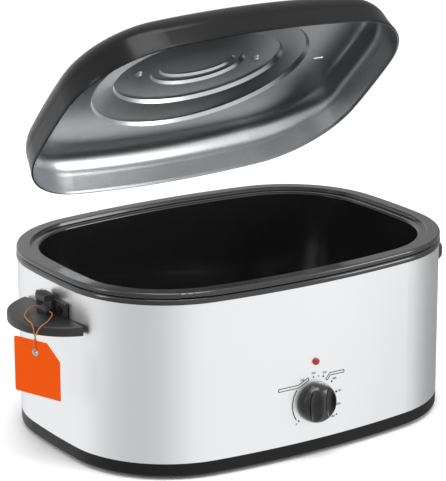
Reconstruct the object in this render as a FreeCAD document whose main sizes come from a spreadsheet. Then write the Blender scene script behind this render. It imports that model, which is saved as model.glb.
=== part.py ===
import FreeCAD, Part
import math
import os
import re
import Sketcher

# Electric roaster oven. The frame has +Z up and the front at -Y, with the origin on the counter
# under the middle of the oven. Every oval of the oven is eight tangent arcs about the same centres,
# so a wall is one outline and an offset from it, negative towards the inside.

SIZES = {
    # the oval of the steel wrap, seen from above
    "half_length": 267, "half_width": 197,
    "side_radius": 1040, "end_radius": 1050, "corner_radius": 140,
    # heights above the counter
    "foot_height": 4, "base_top": 21, "rim_low": 223.3, "collar_top": 230.5, "rim_top": 238,
    # gaps between pieces that part, and between pieces that only lie together
    "lift_gap": 0.3, "seat_gap": 0.05, "hole_play": 0.1,
    # steel wrap and base tray
    "wrap_gauge": 0.8, "base_gauge": 1.2, "wrap_lap": 3, "spigot_height": 9, "base_round": 3,
    "base_ledge": 2.6, "tray_web": 40,
    "vent_length": 46, "vent_width": 5, "vent_pitch": 14, "vent_count": 5, "vent_place": 70,
    # how deep a cut runs where it goes right through a thin wall
    "through_cut": 20,
    # feet
    "foot_inset_x": 89, "foot_inset_y": 79, "foot_radius": 12, "foot_bore": 2.2, "foot_sink_radius": 5,
    "foot_sink_depth": 2.4, "foot_rim": 1, "foot_screw_head": 2, "foot_screw_end": 3,
    # oven well
    "liner_gauge": 1, "liner_offset": -24, "liner_floor": 52, "liner_round": 16, "collar_round": 4,
    "collar_reach": 1.4, "well_mouth_round": 4,
    # heat shield, tie bolts and insulation
    "shield_height": 33, "shield_offset": -32, "shield_gauge": 0.8, "tie_x": 128, "tie_y": 78,
    "tie_radius": 3, "tie_head": 5.5, "tie_head_rise": 2.6, "tie_nut_rise": 3,
    "cutout_cap": 9, "cutout_flange": 12, "cutout_height": 8, "cutout_flange_height": 3,
    "blanket_inner": -20, "blanket_outer": -8, "blanket_low": 46, "blanket_high": 216,
    "blanket_front_gap": 12, "blanket_lamp_gap": 16, "blanket_back_gap": 50, "blanket_band_gap": 6,
    "blanket_cut": 40,
    # heater band
    "band_low": 70, "band_high": 128, "band_thick": 2.4,
    "tab_thick": 6, "tab_depth": 8, "tab_height": 22, "tab_place": 36,
    # cooking pan
    "pan_gauge": 1.2, "pan_reach": 1, "pan_step": -17, "pan_shelf": 233.8, "pan_mouth": -28.5,
    "pan_draft": 8, "pan_floor": 62, "pan_round": 24, "bead_width": 4,
    "bead_low_round": 2, "bead_round": 3, "step_round": 1.5, "mouth_round": 3.5, "step_draft": 0.8,
    # roasting rack
    "rack_wire": 2.5, "rack_offset": -64, "rack_lift": 12, "rack_bars": 11, "rack_pitch": 31,
    # lid
    "lid_offset": -19.8, "lid_gauge": 1, "lid_wall": 25, "lid_lean": 4, "lid_round": 30,
    "lid_hem": 2.4, "lid_hem_height": 3.4,
    "ring_step": 4.5, "ring_slope": 3,
    "ring_one_x": 160, "ring_one_y": 116, "ring_two_x": 127, "ring_two_y": 76,
    "ring_three_x": 72, "ring_three_y": 40, "ring_four_x": 58, "ring_four_y": 28,
    "steam_place": 184, "steam_length": 16, "steam_width": 3,
    # lid handle
    "grip_spacing": 90, "grip_width": 27, "grip_height": 38, "grip_thick": 12, "grip_end": 17,
    "grip_foot": 12, "grip_hollow": 14, "grip_sweep": 15, "grip_lean": 2,
    "grip_shoulder": 14, "grip_crown": 26, "grip_taper": 3, "grip_top_end": 6, "pilot_depth": 15,
    "screw_radius": 2, "screw_head": 4.2, "screw_head_rise": 2.6, "screw_dome": 3, "screw_slot": 0.45,
    "lid_screw_length": 14, "washer_thick": 1, "washer_reach": 1.6,
    # how far the lid is lifted and leant back from the pan
    "lid_axis_y": 212, "lid_axis_z": 284, "lid_open": 44.7,
    # side handles
    "handle_y": -9, "handle_low": 173, "handle_thick": 12.5, "handle_half": 73, "handle_reach": 55,
    "plate_half": 36, "plate_thick": 4, "plate_top": 204, "rest_half": 11, "rest_reach": 17,
    "rest_top": 211, "rest_neck": 9, "rest_cap": 7, "handle_screw": 24,
    "handle_gap": 0.35, "handle_round": 2.5, "handle_web": 5, "handle_wall": 9, "handle_inset": 14,
    "screw_rise": 9, "handle_screw_head": 2, "rest_heel": 5, "rest_slope": 3, "rest_lip": 2,
    "groove_count": 4, "groove_pitch": 5, "groove_width": 2, "groove_depth": 1.2, "groove_start": 7,
    "handle_nut_start": 8.1, "handle_nut_end": 10.5, "handle_nut_step": 0.6,
    # hang tag: its eyelet's angle round the left shelf and drop below it, its card and its cord
    "tag_angle": 31, "tag_beyond": 7, "tag_drop": 31.5, "tag_turn": 20,
    "card_left": 34, "card_right": 38, "card_top": 15, "card_bottom": 55, "card_thick": 0.8,
    "card_round": 3, "card_clip": 20, "eyelet_bore": 2, "eyelet_tube": 2.7, "eyelet_flange": 4.6,
    "eyelet_lip": 0.45, "tag_cord": 0.7, "cord_fold": 3.5, "cord_start": 12, "cord_rise": 4.5,
    # control knob and lamp
    "control_x": -5, "knob_z": 70.6, "lamp_z": 123.4, "knob_radius": 26, "knob_skirt": 6,
    "knob_rise": 20, "knob_grip": 12, "shaft_radius": 3, "bush_radius": 5, "lamp_radius": 4.6,
    "lamp_depth": 6, "lamp_rise": 3, "lamp_dome": 2, "holder_reach": 1.6, "socket_end": 14,
    "knob_hollow": 12, "knob_hollow_depth": 3.4, "knob_round": 2, "knob_shelf": 4, "knob_draft": 1.5,
    "knob_cap": 3, "scoop_rise": 1.5, "shaft_length": 22, "shaft_start": 8.5,
    # thermostat
    "stat_width": 38, "stat_height": 34, "stat_depth": 14, "stat_plate": 1.2, "stat_gap": 0.75,
    "plate_side": 8, "plate_edge": 2, "bush_rise": 4, "nut_reach": 8, "nut_thick": 2.2,
    # mains entry at the back
    "gland_x": 0, "gland_z": 48, "gland_bore": 4, "gland_radius": 8, "gland_rise": 12,
    "gland_depth": 7, "gland_relief": 0.6, "gland_step": 2, "gland_neck": 1.85, "gland_collar": 3,
    "gland_cone": 2, "gland_taper": 2.6,
    "block_left": 18, "block_right": 54, "block_back": 30, "block_front": 44, "block_height": 15,
    "port_first": 24, "port_pitch": 8, "port_count": 4, "port_radius": 2.4, "port_inset": 37,
}

doc = FreeCAD.newDocument("roaster")
sheet = doc.addObject("Spreadsheet::Sheet", "Sizes")
for row, (alias, size) in enumerate(SIZES.items(), 1):
    sheet.set("A%d" % row, alias)
    sheet.set("B%d" % row, str(size))
    sheet.setAlias("B%d" % row, alias)
doc.recompute()

WORD = re.compile(r"\b(" + "|".join(SIZES) + r")\b")
UP = FreeCAD.Vector(0, 0, 1)
made = []


def bound(text):
    """The expression with each size's name read from the sheet."""
    return WORD.sub(r"Sizes.\1", str(text))


def number(text):
    """What an expression in size names comes to, in millimetres or degrees."""
    answer = sheet.evalExpression(str(text))
    return float(getattr(answer, "Value", answer))


def new_body(name):
    body = doc.addObject("PartDesign::Body", name)
    body.Label = name
    return body


def keep(piece):
    """Marks an object as one of the oven's own pieces, which gets a file."""
    made.append(piece)
    return piece


def plane(body, role):
    return [item for item in body.Origin.OriginFeatures if item.Role == role][0]


def sketch_on(body, role, height="0"):
    """An empty sketch on one of the body's own planes, moved along the plane's normal."""
    sketch = body.newObject("Sketcher::SketchObject", "Sketch")
    sketch.AttachmentSupport = (plane(body, role), "")
    sketch.MapMode = "FlatFace"
    sketch.setExpression("AttachmentOffset.Base.z", bound(height))
    return sketch


def tie(sketch, kind, where, text):
    """A dimension of a sketch, bound to the sheet."""
    index = sketch.addConstraint(Sketcher.Constraint(kind, *where, number(text)))
    sketch.setExpression("Constraints[%d]" % index, bound(text))


def oval_arcs(offset):
    """Centre, radius and angles of the eight arcs, anticlockwise from the right end."""
    side = FreeCAD.Vector(0, number("half_width - side_radius"), 0)
    end = FreeCAD.Vector(number("half_length - end_radius"), 0, 0)
    to_side = number("side_radius - corner_radius")
    to_end = number("end_radius - corner_radius")
    apart = end - side
    along = (to_side ** 2 - to_end ** 2 + apart.Length ** 2) / (2 * apart.Length)
    across = math.sqrt(to_side ** 2 - along ** 2)
    step = apart / apart.Length
    corner = side + step * along + FreeCAD.Vector(-step.y, step.x, 0) * across
    if corner.x < 0 or corner.y < 0:
        corner = side + step * along - FreeCAD.Vector(-step.y, step.x, 0) * across
    low = math.atan2(corner.y - end.y, corner.x - end.x)
    high = math.atan2(corner.y - side.y, corner.x - side.x)
    turn = math.pi
    quarter = [
        (end, "end_radius", -low, low),
        (corner, "corner_radius", low, high),
        (side, "side_radius", high, turn - high),
        (FreeCAD.Vector(-corner.x, corner.y, 0), "corner_radius", turn - high, turn - low),
    ]
    other = [(centre * -1, alias, start + turn, stop + turn) for centre, alias, start, stop in quarter]
    return [(centre, number(alias) + offset, start, stop, alias)
            for centre, alias, start, stop in quarter + other]


def oval_sketch(body, offset, height="0"):
    """The oven's oval at an offset, as a closed sketch of eight tangent arcs."""
    sketch = sketch_on(body, "XY_Plane", height)
    arcs = oval_arcs(number(offset))
    for centre, radius, start, stop, alias in arcs:
        circle = Part.Circle(centre, UP, radius)
        sketch.addGeometry(Part.ArcOfCircle(circle, start, stop), False)
    for index in range(8):
        sketch.addConstraint(Sketcher.Constraint("Tangent", index, 2, (index + 1) % 8, 1))
    for index, (centre, radius, start, stop, alias) in enumerate(arcs):
        tie(sketch, "Radius", (index,), "%s + (%s)" % (alias, offset))
    for index in (0, 4):
        sketch.addConstraint(Sketcher.Constraint("PointOnObject", index, 3, -1))
    for index in (2, 6):
        sketch.addConstraint(Sketcher.Constraint("PointOnObject", index, 3, -2))
    tie(sketch, "DistanceX", (-1, 1, 0, 3), "half_length - end_radius")
    tie(sketch, "DistanceX", (-1, 1, 4, 3), "end_radius - half_length")
    tie(sketch, "DistanceY", (-1, 1, 2, 3), "half_width - side_radius")
    tie(sketch, "DistanceY", (-1, 1, 6, 3), "side_radius - half_width")
    return sketch


def arc_between(start, stop, radius):
    """The short arc from start to stop, to the left of the way for a positive radius."""
    middle = (start + stop) * 0.5
    way = stop - start
    left = FreeCAD.Vector(-way.y, way.x, 0).normalize()
    rise = math.sqrt(max(radius ** 2 - (way.Length / 2) ** 2, 0))
    centre = middle + left * math.copysign(rise, radius)
    circle = Part.Circle(centre, UP if radius > 0 else UP * -1, abs(radius))
    return Part.ArcOfCircle(circle, circle.parameter(start), circle.parameter(stop))


def shape_sketch(body, role, points, height="0"):
    """A closed sketch of straight lines and arcs. A point is (across, up), or (across, up, radius)
    where an arc leads on to the next point, centred left of the way for a positive radius."""
    sketch = sketch_on(body, role, height)
    places = [FreeCAD.Vector(number(point[0]), number(point[1]), 0) for point in points]
    ends = []
    for index, point in enumerate(points):
        start = places[index]
        stop = places[(index + 1) % len(places)]
        if len(point) == 3:
            radius = number(point[2])
            sketch.addGeometry(arc_between(start, stop, radius), False)
            ends.append((1, 2) if radius > 0 else (2, 1))
            tie(sketch, "Radius", (index,), "abs(%s)" % point[2])
        else:
            sketch.addGeometry(Part.LineSegment(start, stop), False)
            ends.append((1, 2))
    for index in range(len(points)):
        after = (index + 1) % len(points)
        join = Sketcher.Constraint("Coincident", index, ends[index][1], after, ends[after][0])
        sketch.addConstraint(join)
    for index, point in enumerate(points):
        tie(sketch, "DistanceX", (-1, 1, index, ends[index][0]), point[0])
        tie(sketch, "DistanceY", (-1, 1, index, ends[index][0]), point[1])
    return sketch


def round_sketch(body, role, circles, height="0"):
    """Circles, each (across, up, radius)."""
    sketch = sketch_on(body, role, height)
    for index, (across, up, radius) in enumerate(circles):
        place = FreeCAD.Vector(number(across), number(up), 0)
        sketch.addGeometry(Part.Circle(place, UP, number(radius)), False)
        tie(sketch, "Radius", (index,), radius)
        tie(sketch, "DistanceX", (-1, 1, index, 3), across)
        tie(sketch, "DistanceY", (-1, 1, index, 3), up)
    return sketch


def box_points(left, low, right, high):
    return [(left, low), (right, low), (right, high), (left, high)]


def slot_sketch(body, role, slots, height="0"):
    """Slots with round ends along the plane's first axis, each (across, up, length, width)."""
    sketch = sketch_on(body, role, height)
    first = 0
    for across, up, length, width in slots:
        half = number("(%s - %s) / 2" % (length, width))
        radius = number("%s / 2" % width)
        middle = FreeCAD.Vector(number(across), number(up), 0)
        reach = FreeCAD.Vector(half, 0, 0)
        rise = FreeCAD.Vector(0, radius, 0)
        quarter = math.pi / 2
        right = Part.Circle(middle + reach, UP, radius)
        left = Part.Circle(middle - reach, UP, radius)
        sketch.addGeometry(Part.LineSegment(middle - reach - rise, middle + reach - rise), False)
        sketch.addGeometry(Part.ArcOfCircle(right, -quarter, quarter), False)
        sketch.addGeometry(Part.LineSegment(middle + reach + rise, middle - reach + rise), False)
        sketch.addGeometry(Part.ArcOfCircle(left, quarter, 3 * quarter), False)
        for step in range(4):
            join = Sketcher.Constraint("Tangent", first + step, 2, first + (step + 1) % 4, 1)
            sketch.addConstraint(join)
        sketch.addConstraint(Sketcher.Constraint("Horizontal", first))
        tie(sketch, "Radius", (first + 1,), "%s / 2" % width)
        tie(sketch, "DistanceX", (-1, 1, first + 1, 3), "%s + (%s - %s) / 2" % (across, length, width))
        tie(sketch, "DistanceX", (-1, 1, first + 3, 3), "%s - (%s - %s) / 2" % (across, length, width))
        tie(sketch, "DistanceY", (-1, 1, first + 1, 3), up)
        first += 4
    return sketch


def pad(body, sketch, depth, back=False):
    feature = body.newObject("PartDesign::Pad", "Pad")
    feature.Profile = sketch
    feature.setExpression("Length", bound(depth))
    feature.Reversed = back
    return feature


def pocket(body, sketch, depth, back=False):
    """Cuts against the sketch's normal, or along it when back is set."""
    feature = body.newObject("PartDesign::Pocket", "Pocket")
    feature.Profile = sketch
    feature.setExpression("Length", bound(depth))
    feature.Reversed = back
    return feature


def round_edges(body, radius, wanted):
    """Rounds the edges of the body so far that the test picks."""
    doc.recompute()
    base = body.Tip
    names = ["Edge%d" % (index + 1) for index, edge in enumerate(base.Shape.Edges) if wanted(edge)]
    feature = body.newObject("PartDesign::Fillet", "Rounds")
    feature.Base = (base, names)
    feature.Radius = radius
    return feature


def from_edge(points):
    """Profile points given as (offset, height) turned to the front middle of the oval."""
    placed = []
    for point in points:
        across = "-(half_width + (%s))" % point[0]
        bend = tuple("-(%s)" % radius for radius in point[2:])
        placed.append((across, point[1]) + bend)
    return placed


def oval_ring(body, points):
    """A wall of one section all round the oval, swept along its outline."""
    profile = shape_sketch(body, "YZ_Plane", from_edge(points))
    path = oval_sketch(body, "0")
    doc.recompute()
    ring = body.newObject("PartDesign::AdditivePipe", "Sweep")
    ring.Profile = profile
    ring.Spine = path
    return ring


def oval_slab(body, offset, low, depth):
    return pad(body, oval_sketch(body, offset, low), depth)


def turned(name, points):
    """A body turned about its own Z axis from a section (radius, height)."""
    body = new_body(name)
    profile = shape_sketch(body, "XZ_Plane", points)
    feature = body.newObject("PartDesign::Revolution", "Turn")
    feature.Profile = profile
    feature.ReferenceAxis = (profile, ["V_Axis"])
    feature.Angle = 360
    return body


def put(piece, across="0", along="0", up="0", axis=(0, 0, 1), angle="0"):
    """Places a piece by sheet expressions, turned about an axis through its own origin."""
    piece.Placement = FreeCAD.Placement(FreeCAD.Vector(), FreeCAD.Rotation(FreeCAD.Vector(*axis), 0.001))
    for letter, text in zip("xyz", (across, along, up)):
        piece.setExpression("Placement.Base." + letter, bound(text))
    for letter, part in zip("xyz", axis):
        piece.setExpression("Placement.Rotation.Axis." + letter, str(part))
    piece.setExpression("Placement.Rotation.Angle", bound(angle))
    return piece


def group(name, members):
    """Several like solids as one piece."""
    compound = doc.addObject("Part::Compound", name)
    compound.Label = name
    compound.Links = members
    return keep(compound)


def cylinder(name, radius, length):
    piece = doc.addObject("Part::Cylinder", name)
    piece.setExpression("Radius", bound(radius))
    piece.setExpression("Height", bound(length))
    return piece


def screw(name, shank_length):
    """A pan-head screw whose head lies under its own origin and whose shank points up."""
    points = [("0", "-screw_head_rise"), ("screw_head - 1.6", "-screw_head_rise", "screw_dome"),
              ("screw_head", "0"),
              ("screw_radius", "0"), ("screw_radius", shank_length), ("0", shank_length)]
    body = turned(name, points)
    pocket(body, shape_sketch(body, "XY_Plane", box_points(
        "1.6 - screw_head", "-screw_slot", "screw_head - 1.6", "screw_slot"), "-screw_head_rise"),
        "1", back=True)
    return body


# The brushed steel wrap: one strip round the oven, pierced for the controls, the side handles and
# the mains entry.
def make_wrap():
    body = new_body("steel_wrap")
    oval_ring(body, box_points("0", "base_top + seat_gap", "-wrap_gauge", "rim_low + wrap_lap"))
    front = round_sketch(body, "XZ_Plane", [("control_x", "knob_z", "bush_radius + 0.2"),
                                            ("control_x", "lamp_z", "lamp_radius - 0.8")],
                         "half_width - through_cut / 2")
    pocket(body, front, "through_cut", back=True)
    gland = round_sketch(body, "XZ_Plane", [("gland_x", "gland_z", "gland_radius - gland_neck + seat_gap")],
                         "-(half_width - through_cut / 2)")
    pocket(body, gland, "through_cut")
    for side in (-1, 1):
        holes = [("handle_y + %d * handle_screw" % end, "handle_low + handle_thick + screw_rise",
                  "screw_radius + 2 * hole_play") for end in (-1, 1)]
        ends = round_sketch(body, "YZ_Plane", holes, "%d * (half_length - through_cut / 2)" % side)
        pocket(body, ends, "through_cut", back=side > 0)
    return keep(body)


# The black base tray: a drawn pan whose upturned edge enters the wrap, with air slots in its floor.
CORNERS = {"front_left": (-1, -1), "front_right": (1, -1), "rear_left": (-1, 1), "rear_right": (1, 1)}


def foot_place(x, y):
    return "%d * (half_length - foot_inset_x)" % x, "%d * (half_width - foot_inset_y)" % y


def make_base():
    body = new_body("base_tray")
    oval_ring(body, [
        ("-base_round", "foot_height", "base_round"),
        ("0", "foot_height + base_round"),
        ("0", "base_top"),
        ("-wrap_gauge - seat_gap", "base_top"),
        ("-wrap_gauge - seat_gap", "base_top + spigot_height"),
        ("-base_ledge", "base_top + spigot_height"),
        ("-base_ledge", "foot_height + base_round + base_gauge"),
        ("-base_ledge - base_round", "foot_height + base_gauge"),
        ("-tray_web - 1", "foot_height + base_gauge"),
        ("-tray_web - 1", "foot_height"),
    ])
    oval_slab(body, "-tray_web", "foot_height", "base_gauge")
    slots = []
    for row in (-1, 1):
        for index in range(int(number("vent_count"))):
            shift = index - (number("vent_count") - 1) / 2
            slots.append(("%d * vent_place" % row, "%g * vent_pitch" % shift, "vent_length", "vent_width"))
    vents = slot_sketch(body, "XY_Plane", slots, "foot_height - 1")
    pocket(body, vents, "base_gauge + 2", back=True)
    holes = [foot_place(x, y) + ("foot_bore + hole_play",) for x, y in CORNERS.values()]
    holes += [("%d * tie_x" % x, "%d * tie_y" % y, "tie_radius + hole_play") for x, y in CORNERS.values()]
    pocket(body, round_sketch(body, "XY_Plane", holes, "foot_height - 1"), "base_gauge + 2", back=True)
    return keep(body)


# Four rubber feet, each held by a screw sunk in its underside.
def make_feet():
    screws = []
    for word, (x, y) in CORNERS.items():
        foot = turned("foot_" + word, [
            ("foot_bore", "foot_sink_depth"), ("foot_sink_radius", "foot_sink_depth"),
            ("foot_sink_radius", "0"), ("foot_radius - foot_rim", "0"),
            ("foot_radius", "foot_height"), ("foot_bore", "foot_height")])
        keep(put(foot, *foot_place(x, y)))
        fixing = turned("foot_screw", [
            ("0", "foot_sink_depth - foot_screw_head"),
            ("foot_sink_radius - 1.2", "foot_sink_depth - foot_screw_head"),
            ("foot_sink_radius - 0.8", "foot_sink_depth"), ("foot_bore - seat_gap", "foot_sink_depth"),
            ("foot_bore - seat_gap", "foot_height + base_gauge + foot_screw_end"),
            ("0", "foot_height + base_gauge + foot_screw_end")])
        screws.append(put(fixing, *foot_place(x, y)))
    group("foot_screws", screws)


# The oven well: enamelled steel, with a flange that turns down over the wrap as a rounded collar.
def make_liner():
    body = new_body("oven_well")
    wall = "liner_offset"
    oval_ring(body, [
        ("collar_reach", "rim_low"),
        ("collar_reach", "collar_top - collar_round", "collar_round"),
        ("collar_reach - collar_round", "collar_top"),
        (wall + " + well_mouth_round", "collar_top", "well_mouth_round"),
        (wall, "collar_top - well_mouth_round"),
        (wall, "liner_floor + liner_round", "-liner_round"),
        (wall + " - liner_round", "liner_floor"),
        (wall + " - liner_round - 8", "liner_floor"),
        (wall + " - liner_round - 8", "liner_floor - liner_gauge"),
        (wall + " - liner_round", "liner_floor - liner_gauge", "liner_round + liner_gauge"),
        (wall + " + liner_gauge", "liner_floor + liner_round"),
        (wall + " + liner_gauge", "collar_top - well_mouth_round", "-(well_mouth_round - liner_gauge)"),
        (wall + " + well_mouth_round", "collar_top - liner_gauge"),
        ("collar_reach - collar_round", "collar_top - liner_gauge", "-(collar_round - liner_gauge)"),
        ("collar_reach - liner_gauge", "collar_top - collar_round"),
        ("collar_reach - liner_gauge", "rim_low"),
    ])
    oval_slab(body, wall + " - liner_round - 7", "liner_floor - liner_gauge", "liner_gauge")
    return keep(body)


# The band heater clamped round the well, its two terminals at the back.
def make_heater():
    body = new_body("heater_band")
    outer = "liner_offset + liner_gauge + seat_gap"
    oval_ring(body, box_points(outer, "band_low", outer + " + band_thick", "band_high"))
    keep(body)
    tabs = []
    for side in (-1, 1):
        tab = doc.addObject("Part::Box", "heater_tab")
        for name, text in (("Length", "tab_thick"), ("Width", "tab_depth"), ("Height", "tab_height")):
            tab.setExpression(name, bound(text))
        tabs.append(put(tab, "gland_x + %d * tab_place - tab_thick / 2" % side,
                        "half_width + liner_offset + liner_gauge + band_thick",
                        "(band_low + band_high - tab_height) / 2"))
    group("heater_terminals", tabs)


# The glass-wool blanket between the well and the wrap, cut away round the controls and terminals.
def make_blanket():
    body = new_body("insulation_blanket")
    oval_ring(body, box_points("blanket_inner", "blanket_low", "blanket_outer", "blanket_high"))
    front = shape_sketch(body, "XZ_Plane", box_points(
        "control_x - stat_width / 2 - blanket_front_gap", "blanket_low - 1",
        "control_x + stat_width / 2 + blanket_front_gap", "lamp_z + blanket_lamp_gap"),
        "half_width - blanket_cut")
    pocket(body, front, "blanket_cut", back=True)
    back = shape_sketch(body, "XZ_Plane", box_points(
        "gland_x - blanket_back_gap", "blanket_low - 1",
        "gland_x + blanket_back_gap", "band_high + blanket_band_gap"), "-(half_width - blanket_cut)")
    pocket(body, back, "blanket_cut")
    return keep(body)


# Under the well: a bright heat shield, and four tie bolts that draw the well down to the tray.
def make_underworks():
    body = new_body("heat_shield")
    oval_slab(body, "shield_offset", "shield_height", "shield_gauge")
    holes = [("%d * tie_x" % x, "%d * tie_y" % y, "tie_radius + seat_gap") for x, y in CORNERS.values()]
    pocket(body, round_sketch(body, "XY_Plane", holes, "shield_height - 1"), "shield_gauge + 2", back=True)
    keep(body)
    bolts = []
    for x, y in CORNERS.values():
        bolt = turned("tie_bolt", [
            ("0", "foot_height - tie_head_rise"), ("tie_head", "foot_height - tie_head_rise"),
            ("tie_head", "foot_height - seat_gap"), ("tie_radius", "foot_height - seat_gap"),
            ("tie_radius", "shield_height - tie_nut_rise"),
            ("tie_head - 1", "shield_height - tie_nut_rise"),
            ("tie_head - 1", "shield_height - seat_gap"), ("tie_radius", "shield_height - seat_gap"),
            ("tie_radius", "liner_floor - liner_gauge"), ("0", "liner_floor - liner_gauge")])
        bolts.append(put(bolt, "%d * tie_x" % x, "%d * tie_y" % y))
    group("tie_bolts", bolts)
    cutout = turned("thermal_cutout", [
        ("0", "-cutout_height"), ("cutout_cap", "-cutout_height"), ("cutout_cap", "-cutout_flange_height"),
        ("cutout_flange", "-cutout_flange_height"), ("cutout_flange", "0"), ("0", "0")])
    keep(put(cutout, "0", "0", "liner_floor - liner_gauge - seat_gap"))


# The cooking pan: enamelled steel with a rolled edge, a flat flange, a shelf for the lid's hem and
# tapering walls that end in a wide round at the floor.
def make_pan():
    body = new_body("cooking_pan")
    gauge = "pan_gauge"
    foot = "pan_mouth - pan_draft"
    oval_ring(body, [
        ("pan_reach - bead_width", "collar_top + lift_gap"),
        ("pan_reach - bead_low_round", "collar_top + lift_gap", "bead_low_round"),
        ("pan_reach", "collar_top + lift_gap + bead_low_round"),
        ("pan_reach", "rim_top - bead_round", "bead_round"),
        ("pan_reach - bead_round", "rim_top"),
        ("pan_step + step_round", "rim_top", "step_round"),
        ("pan_step", "rim_top - step_round"),
        ("pan_step - step_draft", "pan_shelf"),
        ("pan_mouth + mouth_round", "pan_shelf", "mouth_round"),
        ("pan_mouth", "pan_shelf - mouth_round"),
        (foot, "pan_floor + pan_round", "-pan_round"),
        (foot + " - pan_round", "pan_floor"),
        (foot + " - pan_round - 8", "pan_floor"),
        (foot + " - pan_round - 8", "pan_floor - " + gauge),
        (foot + " - pan_round", "pan_floor - " + gauge, "pan_round + " + gauge),
        (foot + " + " + gauge, "pan_floor + pan_round"),
        ("pan_mouth + " + gauge, "pan_shelf - mouth_round", "-(mouth_round - %s)" % gauge),
        ("pan_mouth + mouth_round", "pan_shelf - " + gauge),
        ("pan_step + %s - step_draft" % gauge, "pan_shelf - " + gauge),
        ("pan_step + " + gauge, "rim_top - step_round"),
        ("pan_step + step_round", "rim_top - " + gauge),
        ("pan_reach - bead_width", "rim_top - " + gauge),
    ])
    oval_slab(body, foot + " - pan_round - 7", "pan_floor - " + gauge, gauge)
    return keep(body)


# The wire roasting rack that stands in the pan: an oval rail, cross wires and four short feet.
def make_rack():
    height = "pan_floor + rack_lift"
    rail = new_body("rack_rail")
    profile = round_sketch(rail, "YZ_Plane", [("-(half_width + rack_offset)", height, "rack_wire")])
    path = oval_sketch(rail, "rack_offset", height)
    doc.recompute()
    sweep = rail.newObject("PartDesign::AdditivePipe", "Sweep")
    sweep.Profile = profile
    sweep.Spine = path
    keep(rail)
    wires = []
    count = int(number("rack_bars"))
    for index in range(count):
        shift = "(%g * rack_pitch)" % (index - (count - 1) / 2)
        reach = "(sqrt((side_radius + rack_offset)^2 - %s^2) + half_width - side_radius)" % shift
        wire = cylinder("rack_wire", "rack_wire * 0.7", "2 * %s - 1" % reach)
        wires.append(put(wire, shift, "-%s + 0.5" % reach, height + " + rack_wire * 1.6",
                         (1, 0, 0), "-90"))
    stands = []
    for x in (-1, 1):
        for y in (-1, 1):
            stand = cylinder("rack_foot", "rack_wire", "rack_lift - rack_wire * 0.9 - 0.3")
            stands.append(put(stand, "%d * 3 * rack_pitch" % x,
                              "%d * (half_width + rack_offset)" % y, "pan_floor + lift_gap"))
    group("rack_wires", wires)
    group("rack_feet", stands)


# The lid: one drawn black shell with a rolled hem, a leaning wall, a wide shoulder and a crown of
# raised ovals, with two steam slots and two holes for its handle.
def lid_rings():
    """Half length, half width and height above the hem of the crown's outer face."""
    top = "lid_wall + lid_round"
    one = top + " + ring_step"
    two = one + " + 4 + ring_step"
    three = two + " + ring_step - 1"
    return [
        ("ring_one_x", "ring_one_y", top),
        ("ring_one_x - ring_slope", "ring_one_y - ring_slope", one),
        ("ring_two_x", "ring_two_y", one + " + 4"),
        ("ring_two_x - ring_slope", "ring_two_y - ring_slope", two),
        ("ring_three_x", "ring_three_y", two),
        ("ring_three_x - ring_slope", "ring_three_y - ring_slope", three),
        ("ring_four_x", "ring_four_y", three),
        ("ring_four_x - ring_slope", "ring_four_y - ring_slope", three + " + 2.5"),
    ]


def oval_stack(body, sections, kind):
    """A ruled loft through level ellipses."""
    sketches = []
    for half_x, half_y, height in sections:
        sketch = sketch_on(body, "XY_Plane", height)
        ellipse = Part.Ellipse(FreeCAD.Vector(), number(half_x), number(half_y))
        sketch.addGeometry(ellipse, False)
        sketch.exposeInternalGeometry(0)
        sketch.addConstraint(Sketcher.Constraint("Coincident", 0, 3, -1, 1))
        sketch.addConstraint(Sketcher.Constraint("Horizontal", 1))
        tie(sketch, "DistanceX", (1, 1, 1, 2) if sketch.Geometry[1].StartPoint.x < 0 else (1, 2, 1, 1),
            "2 * (%s)" % half_x)
        tie(sketch, "DistanceY", (2, 1, 2, 2) if sketch.Geometry[2].StartPoint.y < 0 else (2, 2, 2, 1),
            "2 * (%s)" % half_y)
        sketches.append(sketch)
    doc.recompute()
    loft = body.newObject(kind, "Crown")
    loft.Profile = sketches[0]
    loft.Sections = sketches[1:]
    loft.Ruled = True
    return loft


def make_lid():
    body = new_body("lid_shell")
    gauge = "lid_gauge"
    lean = "lid_offset - lid_lean"
    oval_ring(body, [
        ("lid_offset - 0.8", "0", "0.8"),
        ("lid_offset", "0.8"),
        ("lid_offset", "lid_hem_height"),
        ("lid_offset - 0.6", "lid_hem_height + 0.6"),
        (lean, "lid_wall", "lid_round"),
        (lean + " - lid_round", "lid_wall + lid_round"),
        (lean + " - lid_round - 6", "lid_wall + lid_round"),
        (lean + " - lid_round - 6", "lid_wall + lid_round - " + gauge),
        (lean + " - lid_round", "lid_wall + lid_round - " + gauge, "-(lid_round - %s)" % gauge),
        (lean + " - " + gauge, "lid_wall"),
        ("lid_offset - lid_hem + 0.6", "lid_hem_height + 0.6"),
        ("lid_offset - lid_hem", "lid_hem_height"),
        ("lid_offset - lid_hem", "0.8", "0.8"),
        ("lid_offset - lid_hem + 0.8", "0"),
    ])
    oval_slab(body, lean + " - lid_round - 5", "lid_wall + lid_round - " + gauge, gauge)
    oval_stack(body, lid_rings(), "PartDesign::AdditiveLoft")
    lowered = [(half_x + " - " + gauge, half_y + " - " + gauge, height + " - " + gauge)
               for half_x, half_y, height in lid_rings()]
    first = lowered[0]
    lowered.insert(0, (first[0], first[1], first[2] + " - 1"))
    oval_stack(body, lowered, "PartDesign::SubtractiveLoft")
    holes = [("%d * grip_spacing" % side, "0", "screw_radius + 0.2") for side in (-1, 1)]
    pocket(body, round_sketch(body, "XY_Plane", holes, "lid_wall"), "lid_round + through_cut", back=True)
    slots = [("%d * steam_place" % side, "0", "steam_length", "steam_width") for side in (-1, 1)]
    pocket(body, slot_sketch(body, "XY_Plane", slots, "lid_wall"), "lid_round + through_cut", back=True)
    return body


def grip_seat():
    """Height of the crown's flat ring that carries the handle, above the hem."""
    return lid_rings()[3][2]


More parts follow.
